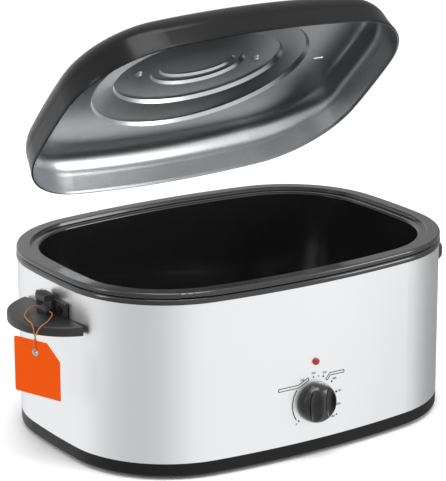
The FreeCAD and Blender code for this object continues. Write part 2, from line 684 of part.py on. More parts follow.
def make_lid_handle():
    body = new_body("lid_handle")
    seat = "(%s + seat_gap)" % grip_seat()
    side = shape_sketch(body, "XZ_Plane", [
        ("-grip_spacing - grip_end", seat),
        ("-grip_spacing + grip_end", seat),
        ("-grip_spacing + grip_end + grip_lean", seat + " + grip_foot", "-grip_hollow"),
        ("-grip_spacing + grip_end + grip_sweep", seat + " + grip_height - grip_thick"),
        ("grip_spacing - grip_end - grip_sweep", seat + " + grip_height - grip_thick", "-grip_hollow"),
        ("grip_spacing - grip_end - grip_lean", seat + " + grip_foot"),
        ("grip_spacing - grip_end", seat),
        ("grip_spacing + grip_end", seat),
        ("grip_spacing + grip_end - grip_taper", seat + " + grip_shoulder", "grip_crown"),
        ("grip_spacing - grip_top_end", seat + " + grip_height"),
        ("-grip_spacing + grip_top_end", seat + " + grip_height", "grip_crown"),
        ("-grip_spacing - grip_end + grip_taper", seat + " + grip_shoulder"),
    ], "-grip_width / 2")
    pad(body, side, "grip_width")
    pilots = [("%d * grip_spacing" % end, "0", "screw_radius + seat_gap") for end in (-1, 1)]
    pocket(body, round_sketch(body, "XY_Plane", pilots, seat + " - 1"), "pilot_depth", back=True)
    return body


def make_lid_set():
    """The lid's pieces stand in their closed place, then turn together about one axis."""
    pieces = [make_lid(), make_lid_handle()]
    for name, side in (("left", -1), ("right", 1)):
        fixing = screw("lid_screw_" + name, "lid_screw_length")
        washer = turned("lid_washer_" + name, [
            ("screw_radius + hole_play", "0"), ("screw_head + washer_reach", "0"),
            ("screw_head + washer_reach", "washer_thick"), ("screw_radius + hole_play", "washer_thick")])
        under = grip_seat() + " - lid_gauge - washer_thick"
        pieces += [(fixing, "%d * grip_spacing" % side, under + " - 2 * seat_gap"),
                   (washer, "%d * grip_spacing" % side, under + " - seat_gap")]
    sill = "(pan_shelf + lift_gap)"
    for entry in pieces:
        piece, across, up = entry if isinstance(entry, tuple) else (entry, "0", "0")
        height = "(%s + %s - lid_axis_z)" % (sill, up)
        put(piece, across,
            "lid_axis_y - lid_axis_y * cos(lid_open) + %s * sin(lid_open)" % height,
            "lid_axis_z + lid_axis_y * sin(lid_open) + %s * cos(lid_open)" % height,
            (1, 0, 0), "-lid_open")
        keep(piece)


# A side handle: a half-moon shelf with a backing plate on the wrap, and above it the notched post
# that the tilted lid can rest in.
def make_side_handle(name, side):
    body = new_body("side_handle_" + name)
    wall = "%d * (half_length + handle_gap)" % side
    near = "handle_y - handle_half"
    far = "handle_y + handle_half"
    tip = "%d * (half_length + handle_reach)" % side
    bend = "((handle_half^2 + handle_reach^2) / (2 * handle_reach))"
    turn = "-" if side < 0 else ""
    moon = shape_sketch(body, "XY_Plane", [
        (wall, near, turn + bend), (tip, "handle_y", turn + bend), (wall, far)], "handle_low")
    pad(body, moon, "handle_thick")
    reach = number("half_length + 5")
    long_edge = number("handle_half")
    round_edges(body, number("handle_round"),
                lambda edge: abs(edge.CenterOfMass.x) > reach and edge.Length > long_edge)
    back = shape_sketch(body, "YZ_Plane", box_points(
        "handle_y - plate_half", "handle_low + 1", "handle_y + plate_half", "plate_top"), wall)
    pad(body, back, "plate_thick", back=side < 0)
    hollow = shape_sketch(body, "XY_Plane", [
        ("%d * (half_length + handle_wall)" % side, "handle_y - handle_half + handle_inset",
         turn + "(%s - handle_wall)" % bend),
        ("%d * (half_length + handle_reach - handle_wall)" % side, "handle_y",
         turn + "(%s - handle_wall)" % bend),
        ("%d * (half_length + handle_wall)" % side, "handle_y + handle_half - handle_inset")],
        "handle_low")
    pocket(body, hollow, "handle_thick - handle_web", back=True)
    holes = [("handle_y + %d * handle_screw" % end, "handle_low + handle_thick + screw_rise",
              "screw_radius + hole_play") for end in (-1, 1)]
    pocket(body, round_sketch(body, "YZ_Plane", holes, "%d * (half_length - 5)" % side), "through_cut",
           back=side > 0)
    return keep(body)


def make_lid_rest(name, side):
    body = new_body("lid_rest_" + name)
    wall = "half_length + handle_gap + plate_thick + seat_gap"
    points = [
        (wall, "handle_low + handle_thick + seat_gap"),
        ("half_length + rest_reach", "handle_low + handle_thick + seat_gap"),
        ("half_length + rest_reach", "handle_low + handle_thick + rest_heel"),
        ("half_length + rest_neck", "handle_low + handle_thick + rest_heel + rest_slope"),
        ("half_length + rest_neck", "rest_top - rest_cap"),
        ("half_length + rest_reach + rest_lip", "rest_top - rest_cap - 1"),
        ("half_length + rest_reach + rest_lip", "rest_top - rest_lip", "rest_lip"),
        ("half_length + rest_reach", "rest_top"),
        (wall, "rest_top"),
    ]
    if side < 0:
        points = [("-(%s)" % point[0], point[1]) + (("-(%s)" % point[2],) if len(point) == 3 else ())
                  for point in points]
    outline = shape_sketch(body, "XZ_Plane", points, "-handle_y - rest_half")
    pad(body, outline, "2 * rest_half")
    grooves = []
    for index in range(int(number("groove_count"))):
        middle = "handle_y + %g * groove_pitch" % (index - (number("groove_count") - 1) / 2)
        grooves.append((middle + " - groove_width / 2", middle + " + groove_width / 2"))
    for low, high in grooves:
        edges = ["half_length + groove_start", "half_length + rest_reach + 2 * rest_lip"]
        ends = sorted((number("%d * (%s)" % (side, edge)), "%d * (%s)" % (side, edge)) for edge in edges)
        cut = shape_sketch(body, "XY_Plane", box_points(ends[0][1], low, ends[1][1], high),
                           "rest_top - groove_depth")
        pocket(body, cut, "2 * groove_depth", back=True)
    return keep(body)


def make_handle_screws(name, side):
    screws = []
    for end in (-1, 1):
        fixing = turned("handle_screw", [
            ("0", "0"), ("screw_head", "0"), ("screw_head", "handle_screw_head"),
            ("screw_radius", "handle_screw_head"), ("screw_radius", "handle_nut_start"),
            ("screw_head - handle_nut_step", "handle_nut_start"),
            ("screw_head - handle_nut_step", "handle_nut_end"), ("0", "handle_nut_end")])
        place = "%d * (half_length + handle_gap + plate_thick + seat_gap + handle_screw_head)" % side
        screws.append(put(fixing, place, "handle_y + %d * handle_screw" % end,
                          "handle_low + handle_thick + screw_rise", (0, 1, 0), "%d * -90" % side))
    group("handle_screws_" + name, screws)


# The hang tag: a stiff card with a pressed eyelet. A thin cord ties it to the left post, lies over
# the shelf's edge and folds through the eyelet. Its route is points joined by tangent arcs.
def by_shelf(beyond, angle, rise):
    """A point at an angle round the left shelf, beyond its edge and above its top."""
    bend = number("(handle_half^2 + handle_reach^2) / (2 * handle_reach)")
    turn = math.radians(angle)
    reach = bend + beyond
    return FreeCAD.Vector(bend - number("half_length + handle_reach") - reach * math.cos(turn),
                          number("handle_y") - reach * math.sin(turn),
                          number("handle_low + handle_thick") + rise)


def tag_place():
    return by_shelf(number("tag_beyond"), number("tag_angle"), -number("tag_drop"))


def tag_route():
    """The cord's points, from the post's rear face through the eyelet to its front face."""
    facing = math.radians(number("tag_turn"))
    out = FreeCAD.Vector(-math.cos(facing), -math.sin(facing), 0)
    upward = FreeCAD.Vector(0, 0, 8)
    eyelet = tag_place() + FreeCAD.Vector(0, 0, number("eyelet_bore - tag_cord - 2 * seat_gap"))
    before = eyelet + out * number("cord_fold")
    behind = eyelet - out * number("cord_fold + card_thick")
    post = [FreeCAD.Vector(-number("half_length + cord_start"), number("handle_y + %d * rest_half" % side),
                           number("handle_low + handle_thick + cord_rise")) for side in (1, -1)]
    aside = FreeCAD.Vector(0, 7, 0)
    rear = [by_shelf(-29, -23, 3.6), by_shelf(-20, -9, 2.9), by_shelf(-11, 5, 2.6),
            by_shelf(-5, 16, 2.2), by_shelf(-0.6, 24, 1.7), by_shelf(3.2, 28, -3),
            by_shelf(3.4, 29, -13)]
    front = [by_shelf(9.4, 31, -15.5), by_shelf(4, 33, -3), by_shelf(-1.4, 36, 1.8),
             by_shelf(-10, 37, 2.4), by_shelf(-20, 36, 2.8), by_shelf(-31, 34, 3.6)]
    return ([post[0], post[0] + aside] + rear + [behind + upward, behind, before, before + upward]
            + front + [post[1] - aside, post[1]])


def rounded_route(corners):
    """Straight runs joined by tangent arcs, each as large as its two runs allow."""
    edges = []
    radii = []
    start = corners[0]
    for before, corner, after in zip(corners, corners[1:], corners[2:]):
        back = before - corner
        onward = after - corner
        cut = 0.45 * min(back.Length, onward.Length)
        back.normalize()
        onward.normalize()
        half_turn = (math.pi - back.getAngle(onward)) / 2
        radii.append(cut / math.tan(half_turn))
        towards = back + onward
        towards.normalize()
        middle = corner + towards * radii[-1] * (1 / math.cos(half_turn) - 1)
        edges.append(Part.LineSegment(start, corner + back * cut).toShape())
        edges.append(Part.Arc(corner + back * cut, middle, corner + onward * cut).toShape())
        start = corner + onward * cut
    edges.append(Part.LineSegment(start, corners[-1]).toShape())
    print("tag cord's bend radii:", [round(radius, 1) for radius in radii])
    return Part.Wire(edges)


def make_tag():
    card = new_body("tag_card")
    edge = shape_sketch(card, "YZ_Plane", [
        ("-card_right", "-card_bottom"), ("card_left - card_round", "-card_bottom", "card_round"),
        ("card_left", "card_round - card_bottom"), ("card_left", "card_top - card_round", "card_round"),
        ("card_left - card_round", "card_top"), ("card_clip - card_right", "card_top"),
        ("-card_right", "card_top - card_clip")])
    pad(card, edge, "card_thick")
    pocket(card, round_sketch(card, "YZ_Plane", [("0", "0", "eyelet_tube + 0.1")]), "card_thick",
           back=True)
    eyelet = turned("tag_eyelet", [
        ("eyelet_bore", "-card_thick - seat_gap - eyelet_lip"),
        ("eyelet_flange", "-card_thick - seat_gap - eyelet_lip"),
        ("eyelet_flange", "-card_thick - seat_gap"), ("eyelet_tube", "-card_thick - seat_gap"),
        ("eyelet_tube", "seat_gap"), ("eyelet_flange", "seat_gap"),
        ("eyelet_flange", "seat_gap + eyelet_lip"), ("eyelet_bore", "seat_gap + eyelet_lip")])
    spot = ["%.4f" % value for value in tag_place()]
    facing = math.radians(number("tag_turn"))
    keep(put(card, *spot, (0, 0, 1), "tag_turn"))
    keep(put(eyelet, *spot, (math.sin(facing), -math.cos(facing), 0), "90"))
    points = tag_route()
    path = doc.addObject("Part::Feature", "tag_route")
    path.Shape = rounded_route(points)
    section = doc.addObject("Part::Circle", "tag_section")
    section.Placement = FreeCAD.Placement(points[0], FreeCAD.Rotation(
        FreeCAD.Vector(0, 0, 1), points[1] - points[0]))
    section.setExpression("Radius", bound("tag_cord"))
    cord = doc.addObject("Part::Sweep", "tag_string")
    cord.Label = "tag_string"
    cord.Sections = [section]
    cord.Spine = (path, ["Edge%d" % (index + 1) for index in range(len(path.Shape.Edges))])
    cord.Solid = True
    keep(cord)


# The control: a thermostat on a plate behind the wrap, its shaft through a threaded bush, a moulded
# knob with a straight grip, and a red lamp above it.
def make_control():
    wall = "-(half_width - wrap_gauge - seat_gap)"
    plate = new_body("thermostat_plate")
    outline = shape_sketch(plate, "XZ_Plane", box_points(
        "control_x - stat_width / 2 - plate_side", "knob_z - stat_height / 2 - plate_edge",
        "control_x + stat_width / 2 + plate_side", "knob_z + stat_height / 2 + plate_edge"),
        "half_width - wrap_gauge - stat_gap - stat_plate")
    pad(plate, outline, "stat_plate")
    pocket(plate, round_sketch(plate, "XZ_Plane", [("control_x", "knob_z", "bush_radius + hole_play")],
                               "half_width - through_cut / 2"), "through_cut", back=True)
    keep(plate)
    stat = new_body("thermostat")
    outline = shape_sketch(stat, "XZ_Plane", box_points(
        "control_x - stat_width / 2", "knob_z - stat_height / 2",
        "control_x + stat_width / 2", "knob_z + stat_height / 2"),
        "half_width - wrap_gauge - stat_gap - seat_gap - stat_plate - stat_depth")
    pad(stat, outline, "stat_depth")
    bush = round_sketch(stat, "XZ_Plane", [("control_x", "knob_z", "bush_radius")],
                        "half_width - wrap_gauge - stat_plate - 1")
    pad(stat, bush, "wrap_gauge + stat_plate + bush_rise")
    bore = round_sketch(stat, "XZ_Plane", [("control_x", "knob_z", "shaft_radius + seat_gap")],
                        "half_width - wrap_gauge - stat_plate - shaft_start - 0.5")
    pocket(stat, bore, "through_cut", back=True)
    keep(stat)
    nut = new_body("thermostat_nut")
    points = [("control_x + nut_reach * cos(%d)" % angle, "knob_z + nut_reach * sin(%d)" % angle)
              for angle in range(0, 360, 60)]
    pad(nut, shape_sketch(nut, "XZ_Plane", points, "half_width + seat_gap"), "nut_thick")
    pocket(nut, round_sketch(nut, "XZ_Plane", [("control_x", "knob_z", "bush_radius + seat_gap")],
                             "half_width - 1"), "through_cut", back=True)
    keep(nut)
    shaft = cylinder("thermostat_shaft", "shaft_radius", "shaft_length")
    keep(put(shaft, "control_x", "-(half_width - wrap_gauge - stat_plate - shaft_start)", "knob_z",
             (1, 0, 0), "90"))
    knob = new_body("control_knob")
    profile = shape_sketch(knob, "XZ_Plane", [
        ("shaft_radius + seat_gap", "knob_hollow_depth"), ("knob_hollow", "knob_hollow_depth"),
        ("knob_hollow", "0"), ("knob_radius", "0"),
        ("knob_radius", "knob_skirt - knob_round", "knob_round"), ("knob_radius - knob_round", "knob_skirt"),
        ("knob_radius - knob_shelf", "knob_skirt"),
        ("knob_radius - knob_shelf - knob_draft", "knob_rise - knob_round", "knob_round"),
        ("knob_radius - knob_shelf - knob_draft - knob_round", "knob_rise"), ("0", "knob_rise"),
        ("0", "knob_rise - knob_cap"), ("shaft_radius + seat_gap", "knob_rise - knob_cap")])
    turn = knob.newObject("PartDesign::Revolution", "Turn")
    turn.Profile = profile
    turn.ReferenceAxis = (profile, ["V_Axis"])
    turn.Angle = 360
    for side in (-1, 1):
        edges = ["%d * (knob_grip / 2)" % side, "%d * (knob_radius + knob_round)" % side]
        ends = sorted(edges, key=number)
        scoop = shape_sketch(knob, "XY_Plane", box_points(
            ends[0], "-(knob_radius + knob_round)", ends[1], "knob_radius + knob_round"),
            "knob_skirt + scoop_rise")
        pocket(knob, scoop, "knob_rise", back=True)
    keep(put(knob, "control_x", "-(half_width + lift_gap)", "knob_z", (1, 0, 0), "90"))
    lens = turned("lamp_lens", [
        ("0", "-lamp_depth"), ("lamp_radius - 1", "-lamp_depth"), ("lamp_radius - 1", "seat_gap"),
        ("lamp_radius", "seat_gap"), ("lamp_radius", "lamp_rise - lamp_dome", "lamp_dome"),
        ("lamp_radius - lamp_dome", "lamp_rise"), ("0", "lamp_rise")])
    keep(put(lens, "control_x", "-half_width", "lamp_z", (1, 0, 0), "90"))
    holder = turned("lamp_holder", [
        ("lamp_radius - 1 + seat_gap", "-lamp_depth"), ("lamp_radius + holder_reach", "-lamp_depth"),
        ("lamp_radius + holder_reach", "-wrap_gauge - hole_play"),
        ("lamp_radius - 1 + seat_gap", "-wrap_gauge - hole_play")])
    cap = turned("lamp_socket", [
        ("0", "-socket_end"), ("lamp_radius - 0.4", "-socket_end"),
        ("lamp_radius - 0.4", "-lamp_depth - seat_gap"), ("0", "-lamp_depth - seat_gap")])
    keep(put(holder, "control_x", "-half_width", "lamp_z", (1, 0, 0), "90"))
    keep(put(cap, "control_x", "-half_width", "lamp_z", (1, 0, 0), "90"))


# The mains entry: a bush in the wrap's back, and the terminal block on the base tray behind it.
def make_mains():
    gland = turned("cord_gland", [
        ("gland_bore + gland_relief", "-gland_depth"), ("gland_radius - gland_neck", "-gland_depth"),
        ("gland_radius - gland_neck", "seat_gap"), ("gland_radius", "seat_gap"),
        ("gland_radius", "gland_collar"), ("gland_radius - gland_cone", "gland_collar + gland_cone"),
        ("gland_radius - gland_taper", "gland_rise"), ("gland_bore", "gland_rise"),
        ("gland_bore", "gland_step"), ("gland_bore + gland_relief", "gland_step")])
    keep(put(gland, "gland_x", "half_width", "gland_z", (1, 0, 0), "-90"))
    block = new_body("terminal_block")
    outline = shape_sketch(block, "XY_Plane", box_points(
        "gland_x + block_left", "half_width - block_front", "gland_x + block_right",
        "half_width - block_back"), "foot_height + base_gauge + seat_gap")
    pad(block, outline, "block_height")
    ports = [("gland_x + port_first + %d * port_pitch" % index, "half_width - port_inset", "port_radius")
             for index in range(int(number("port_count")))]
    top = "foot_height + base_gauge + 2 * block_height"
    pocket(block, round_sketch(block, "XY_Plane", ports, top), "1.5 * block_height")
    keep(block)


make_wrap()
make_base()
make_feet()
make_liner()
make_heater()
make_blanket()
make_underworks()
make_pan()
make_rack()
make_lid_set()
for handle_name, handle_side in (("left", -1), ("right", 1)):
    make_side_handle(handle_name, handle_side)
    make_lid_rest(handle_name, handle_side)
    make_handle_screws(handle_name, handle_side)
make_tag()
make_control()
make_mains()
doc.recompute()

faults = [item.Label for item in doc.Objects if "Invalid" in item.State or "Error" in item.State]
faults += [piece.Label for piece in made if piece.Shape.isNull() or not piece.Shape.isValid()]
if faults:
    raise RuntimeError("not built: " + ", ".join(faults))

os.makedirs("parts", exist_ok=True)
for piece in made:
    piece.Shape.exportStep(os.path.join("parts", piece.Label + ".step"))
    print(piece.Label, len(piece.Shape.Solids), round(piece.Shape.Volume / 1000, 2), "cm3")
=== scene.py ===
import bpy
import bmesh
import math
from mathutils import Matrix, Vector


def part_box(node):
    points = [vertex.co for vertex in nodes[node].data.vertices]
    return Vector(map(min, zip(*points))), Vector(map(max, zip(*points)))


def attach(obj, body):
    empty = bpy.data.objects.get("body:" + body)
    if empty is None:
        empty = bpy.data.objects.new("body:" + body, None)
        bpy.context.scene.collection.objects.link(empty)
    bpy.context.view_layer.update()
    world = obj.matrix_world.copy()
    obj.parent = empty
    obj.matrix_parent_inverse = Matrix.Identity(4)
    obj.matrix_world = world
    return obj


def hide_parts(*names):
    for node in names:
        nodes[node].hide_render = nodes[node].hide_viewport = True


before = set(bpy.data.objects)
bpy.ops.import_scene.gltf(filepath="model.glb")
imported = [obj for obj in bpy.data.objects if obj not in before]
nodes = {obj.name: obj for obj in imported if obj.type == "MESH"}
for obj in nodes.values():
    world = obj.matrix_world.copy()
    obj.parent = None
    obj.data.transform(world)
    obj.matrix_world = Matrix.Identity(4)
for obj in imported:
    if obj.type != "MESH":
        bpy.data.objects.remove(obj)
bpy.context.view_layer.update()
scene = bpy.context.scene
scene.view_settings.view_transform = "Standard"


def hex_linear(text):
    """An sRGB hex colour as the linear colour that a shader takes."""
    channels = [int(text[at:at + 2], 16) / 255 for at in (1, 3, 5)]
    return tuple(c / 12.92 if c <= 0.04045 else ((c + 0.055) / 1.055) ** 2.4 for c in channels) + (1.0,)


# Camera. It stands where the photograph's outlines put it: low, left of the front, with a long lens,
# so that the oval looks nearly undistorted. Lengths here are metres.
PHOTO_LONG_SIDE = 481
FOCAL_IN_PIXELS = 2289.2
SENSOR = 36.0
CAMERA_PLACE = Vector((-1.5706, -2.3519, 1.0666))
CAMERA_TARGET = Vector((-0.06007, -0.07395, 0.25744))
CAMERA_ROLL = math.radians(-0.146)
CAMERA_REACH = 50

camera_data = bpy.data.cameras.new("camera")
camera_data.sensor_fit = "AUTO"
camera_data.sensor_width = SENSOR
camera_data.lens = FOCAL_IN_PIXELS * SENSOR / PHOTO_LONG_SIDE
camera_data.clip_end = CAMERA_REACH
camera = bpy.data.objects.new("camera", camera_data)
scene.collection.objects.link(camera)
aim = (CAMERA_TARGET - CAMERA_PLACE).to_track_quat("-Z", "Y").to_matrix().to_4x4()
camera.matrix_world = Matrix.Translation(CAMERA_PLACE) @ aim @ Matrix.Rotation(CAMERA_ROLL, 4, "Z")
scene.camera = camera


# Node trees. Materials, the studio's light and the row of welds are small trees, and one function adds
# a node to any of them, sets it up and joins it.
def add_node(owner, kind, inputs=None, links=None, **settings):
    """Adds a node to a material, a world or a tree. links gives each input its (node, output)."""
    tree = getattr(owner, "node_tree", owner)
    node = tree.nodes.new(kind)
    for name, value in settings.items():
        setattr(node, name, value)
    for name, value in (inputs or {}).items():
        node.inputs[name].default_value = value
    for name, (source, output) in (links or {}).items():
        tree.links.new(source.outputs[output], node.inputs[name])
    return node


def new_material(name, **sockets):
    """A material with a Principled shader, whose plain sockets are set here."""
    material = bpy.data.materials.new(name)
    material.use_nodes = True
    material.node_tree.nodes.clear()
    shader = add_node(material, "ShaderNodeBsdfPrincipled")
    for socket, value in sockets.items():
        shader.inputs[socket.replace("_", " ")].default_value = value
    add_node(material, "ShaderNodeOutputMaterial", links={"Surface": (shader, "BSDF")})
    return material, shader


def join(material, source, output, target, socket):
    """Joins two nodes of a material."""
    material.node_tree.links.new(source.outputs[output], target.inputs[socket])


def finish_node(name, material):
    """Gives a CAD piece its finish."""
    piece = nodes[name]
    piece.data.materials.clear()
    piece.data.materials.append(material)


# Studio. A white sweep under the oven, a large soft box over it to the left and a narrow one to the
# right, so that the steel shows soft upright bands and the black edges a thin white line.
OVEN_MIDDLE = Vector((0, 0, 0.15))
SOFT_BOXES = {  # place, width and height in metres, power in watts
    "overhead": ((-0.2, -0.5, 2.4), 1.6, 1.2, 30),
    "right_front": ((2.4, -2.2, 1.1), 1.2, 1.6, 34),
    "left_side": ((-2.6, 0.4, 0.9), 0.5, 1.4, 12),
}
for name, (place, width, height, power) in SOFT_BOXES.items():
    lamp = bpy.data.lights.new(name, "AREA")
    lamp.shape = "RECTANGLE"
    lamp.size = width
    lamp.size_y = height
    lamp.energy = power
    holder = bpy.data.objects.new(name, lamp)
    scene.collection.objects.link(holder)
    turn = (OVEN_MIDDLE - Vector(place)).to_track_quat("-Z", "Y").to_matrix().to_4x4()
    holder.matrix_world = Matrix.Translation(place) @ turn

world = bpy.data.worlds.new("studio")
scene.world = world
world.use_nodes = True
world.node_tree.nodes.clear()
sky_way = add_node(world, "ShaderNodeTexCoord")


def shade_lobe(direction, start):
    """A soft dark card of the studio that reflections see in one direction: 0 away from it, 1 in it."""
    toward = add_node(world, "ShaderNodeVectorMath", operation="DOT_PRODUCT",
                      inputs={1: Vector(direction).normalized()}, links={0: (sky_way, "Generated")})
    return add_node(world, "ShaderNodeMapRange", interpolation_type="SMOOTHSTEP",
                    inputs={"From Min": start}, links={"Value": (toward, "Value")})


CAMERA_SIDE = (-0.92, -0.38, -0.2)
CAMERA_SIDE_START = 0.45
CAMERA_SIDE_DEPTH = 0.4
RIGHT_BACK = (0.9, 0.42, -0.2)
RIGHT_BACK_START = 0.3
RIGHT_BACK_DEPTH = 0.7
dim_camera = add_node(world, "ShaderNodeMath", operation="MULTIPLY", inputs={1: CAMERA_SIDE_DEPTH},
                      links={0: (shade_lobe(CAMERA_SIDE, CAMERA_SIDE_START), "Result")})
dim_right = add_node(world, "ShaderNodeMath", operation="MULTIPLY_ADD", inputs={1: RIGHT_BACK_DEPTH},
                     links={0: (shade_lobe(RIGHT_BACK, RIGHT_BACK_START), "Result"),
                            2: (dim_camera, "Value")})
mirror_level = add_node(world, "ShaderNodeMath", operation="SUBTRACT", inputs={0: 1.0},
                        links={1: (dim_right, "Value")})
WHITE = hex_linear("#FFFFFF")
ray = add_node(world, "ShaderNodeLightPath")
mirrored = add_node(world, "ShaderNodeBackground", inputs={"Color": WHITE},
                    links={"Strength": (mirror_level, "Value")})
plain = add_node(world, "ShaderNodeBackground", inputs={"Color": WHITE, "Strength": 1.0})
choice = add_node(world, "ShaderNodeMixShader", links={"Fac": (ray, "Is Glossy Ray"),
                                                       1: (plain, 0), 2: (mirrored, 0)})
add_node(world, "ShaderNodeOutputWorld", links={"Surface": (choice, 0)})

FLOOR_REACH = 6
floor_mesh = bpy.data.meshes.new("floor")
floor_corners = [(x * FLOOR_REACH, y * FLOOR_REACH, 0) for x, y in ((-1, -1), (1, -1), (1, 1), (-1, 1))]
floor_mesh.from_pydata(floor_corners, [], [(0, 1, 2, 3)])
floor = bpy.data.objects.new("floor", floor_mesh)
scene.collection.objects.link(floor)
paper, _ = new_material("white paper sweep", Base_Color=hex_linear("#F7F7F7"), Roughness=0.9)
floor_mesh.materials.append(paper)
floor.visible_glossy = False


# Steel wrap: one strip of stainless steel round the oven, brushed along its length and left satin.
# The grit lines are a few hundredths of a millimetre wide; they are drawn about 70 mm long and
# 0.6 mm high here so that they show at all.
GRAIN_LENGTH = 1 / 14
GRAIN_HEIGHT = 1 / 1600
GRAIN_DEPTH = 0.0003
CLOUD_SIZE = 1 / 9
steel, steel_shader = new_material("brushed stainless steel", Base_Color=hex_linear("#EDEEEF"),
                                   Metallic=1.0)
place = add_node(steel, "ShaderNodeTexCoord")
grain_map = add_node(steel, "ShaderNodeMapping", links={"Vector": (place, "Object")},
                     inputs={"Scale": (1 / GRAIN_LENGTH, 1 / GRAIN_LENGTH, 1 / GRAIN_HEIGHT)})
grain = add_node(steel, "ShaderNodeTexNoise", inputs={"Scale": 1.0, "Detail": 4.0, "Roughness": 0.6},
                 links={"Vector": (grain_map, "Vector")})
cloud = add_node(steel, "ShaderNodeTexNoise", inputs={"Scale": 1 / CLOUD_SIZE, "Detail": 2.0},
                 links={"Vector": (place, "Object")})
sheen = add_node(steel, "ShaderNodeMapRange", inputs={"To Min": 0.27, "To Max": 0.4},
                 links={"Value": (grain, "Fac")})
smear = add_node(steel, "ShaderNodeMath", operation="MULTIPLY_ADD", inputs={1: 0.06},
                 links={0: (cloud, "Fac"), 2: (sheen, "Result")})
join(steel, smear, "Value", steel_shader, "Roughness")
scratch = add_node(steel, "ShaderNodeBump", inputs={"Strength": 0.05, "Distance": GRAIN_DEPTH},
                   links={"Height": (grain, "Fac")})
join(steel, scratch, "Normal", steel_shader, "Normal")
finish_node("steel_wrap", steel)


# Wrap seam: the strip's two ends lap at the back, right of the middle, and a row of spot welds joins
# them. A Geometry Nodes tree sets the welds out, and the lap's edge is a low step.
HALF_WIDTH = 0.197
SIDE_RADIUS = 1.04
SEAM_ACROSS = 0.118
SEAM_BREADTH = 0.012
SEAM_GAUGE = 0.0006
SEAM_SINK = 0.0004
SEAM_MARGIN = 0.022
SEAM_STEPS = 4
WELDS = {"Count": 8, "Pitch": 0.0195, "Head radius": 0.0021, "Flatness": 0.16}


def wall_depth(across):
    """How far the wrap's broad side stands from the middle plane, at a width."""
    return math.sqrt(SIDE_RADIUS ** 2 - across ** 2) - SIDE_RADIUS + HALF_WIDTH


def weld_tree():
    """Low round heads in a row up the Z axis, each flattened along Y."""
    tree = bpy.data.node_groups.new("spot_welds", "GeometryNodeTree")
    for name, kind in (("Count", "NodeSocketInt"), ("Pitch", "NodeSocketFloat"),
                       ("Head radius", "NodeSocketFloat"), ("Flatness", "NodeSocketFloat"),
                       ("Finish", "NodeSocketMaterial")):
        tree.interface.new_socket(name, in_out="INPUT", socket_type=kind)
    tree.interface.new_socket("Geometry", in_out="OUTPUT", socket_type="NodeSocketGeometry")
    sizes = add_node(tree, "NodeGroupInput")
    step = add_node(tree, "ShaderNodeCombineXYZ", links={"Z": (sizes, "Pitch")})
    row = add_node(tree, "GeometryNodeMeshLine", links={"Count": (sizes, "Count"), "Offset": (step, 0)})
    head = add_node(tree, "GeometryNodeMeshIcoSphere", inputs={"Subdivisions": 3},
                    links={"Radius": (sizes, "Head radius")})
    squash = add_node(tree, "ShaderNodeCombineXYZ", inputs={"X": 1.0, "Z": 1.0},
                      links={"Y": (sizes, "Flatness")})
    low_head = add_node(tree, "GeometryNodeTransform",
                        links={"Geometry": (head, "Mesh"), "Scale": (squash, 0)})
    heads = add_node(tree, "GeometryNodeInstanceOnPoints",
                     links={"Points": (row, "Mesh"), "Instance": (low_head, "Geometry")})
    real = add_node(tree, "GeometryNodeRealizeInstances", links={"Geometry": (heads, "Instances")})
    skinned = add_node(tree, "GeometryNodeSetMaterial",
                       links={"Geometry": (real, "Geometry"), "Material": (sizes, "Finish")})
    add_node(tree, "NodeGroupOutput", links={"Geometry": (skinned, "Geometry")})
    return tree


def grown(name, tree, values):
    """A plain mesh object of what a tree makes from its named inputs."""
    holder = bpy.data.objects.new(name + "_holder", bpy.data.meshes.new(name + "_holder"))
    scene.collection.objects.link(holder)
    modifier = holder.modifiers.new("tree", "NODES")
    modifier.node_group = tree
    for item in tree.interface.items_tree:
        if item.in_out == "INPUT" and item.name in values:
            modifier[item.identifier] = values[item.name]
    bpy.context.view_layer.update()
    mesh = bpy.data.meshes.new_from_object(holder.evaluated_get(bpy.context.evaluated_depsgraph_get()))
    holder.modifiers.remove(modifier)
    bpy.data.objects.remove(holder)
    piece = bpy.data.objects.new(name, mesh)
    scene.collection.objects.link(piece)
    return piece


wrap_low, wrap_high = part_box("steel_wrap")
seam_ends = (wrap_low[2] + SEAM_MARGIN, wrap_high[2] - SEAM_MARGIN)
build = bmesh.new()
columns = []
for index in range(SEAM_STEPS + 1):
    across = SEAM_ACROSS + SEAM_BREADTH * (index / SEAM_STEPS - 0.5)
    for lift in (-SEAM_SINK, SEAM_GAUGE):
        columns.append([build.verts.new((across, wall_depth(across) + lift, up)) for up in seam_ends])
for index in range(0, 2 * SEAM_STEPS, 2):
    (a, b), (c, d), (e, f), (g, h) = columns[index:index + 4]
    for face_corners in ((c, d, h, g), (a, e, f, b), (a, c, g, e), (b, f, h, d)):
        build.faces.new(face_corners)
for inner, outer in (columns[:2], columns[-2:]):
    build.faces.new((inner[0], inner[1], outer[1], outer[0]))
bmesh.ops.recalc_face_normals(build, faces=build.faces)
lap_mesh = bpy.data.meshes.new("wrap_seam")
build.to_mesh(lap_mesh)
build.free()
lap_mesh.materials.append(steel)
seam = bpy.data.objects.new("wrap_seam", lap_mesh)
scene.collection.objects.link(seam)

welds = grown("wrap_welds", weld_tree(), {**WELDS, "Finish": steel})
row_start = (sum(seam_ends) - WELDS["Pitch"] * (WELDS["Count"] - 1)) / 2
lean = -math.asin(SEAM_ACROSS / SIDE_RADIUS)
welds.data.transform(Matrix.Translation((SEAM_ACROSS, wall_depth(SEAM_ACROSS) + SEAM_GAUGE, row_start))
                     @ Matrix.Rotation(lean, 4, "Z"))
for piece in (seam, welds):
    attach(piece, "oven")


